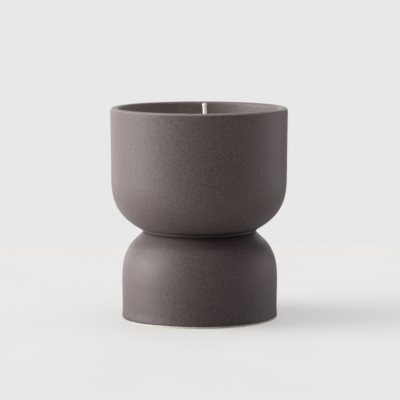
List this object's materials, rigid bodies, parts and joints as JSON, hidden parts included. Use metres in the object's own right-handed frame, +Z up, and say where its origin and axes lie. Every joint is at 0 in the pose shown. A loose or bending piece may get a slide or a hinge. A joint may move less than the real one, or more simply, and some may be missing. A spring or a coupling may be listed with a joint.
{
  "type": "ceramic candle jar",
  "caption": "Hourglass stoneware candle jar: a straight-sided bowl luted onto a hollow domed foot, with wax fill and an unlit braided wick on a steel tab.",
  "frame": {"origin": "centre of the foot's standing ring, on the standing surface", "axes": "+Z up along the jar's axis of revolution; +X to the viewer's right, towards the side where the wick stands off centre; +Y away from the viewer"},
  "size_m": [0.089, 0.089, 0.1084],
  "materials": {
    "stoneware_glaze": "matte speckled charcoal-taupe glaze, bare cream clay on the standing ring",
    "wax": "smooth slightly translucent cream candle wax",
    "wick_cotton": "white braided cotton, waxed",
    "wick_cord": "white twisted cotton cord",
    "tab_steel": "bright tinned sheet steel",
    "sticker_foam": "white closed-cell foam",
    "label_paper": "blank matte paper"
  },
  "bodies": {
    "root": {"bowl": "stoneware_glaze", "foot": "stoneware_glaze", "luting_ring": "stoneware_glaze", "wax": "wax", "wick_braid": "wick_cotton", "wick_core": "wick_cord", "wick_tab": "tab_steel", "wick_sticker": "sticker_foam", "base_label": "label_paper"}
  },
  "joints": []
}
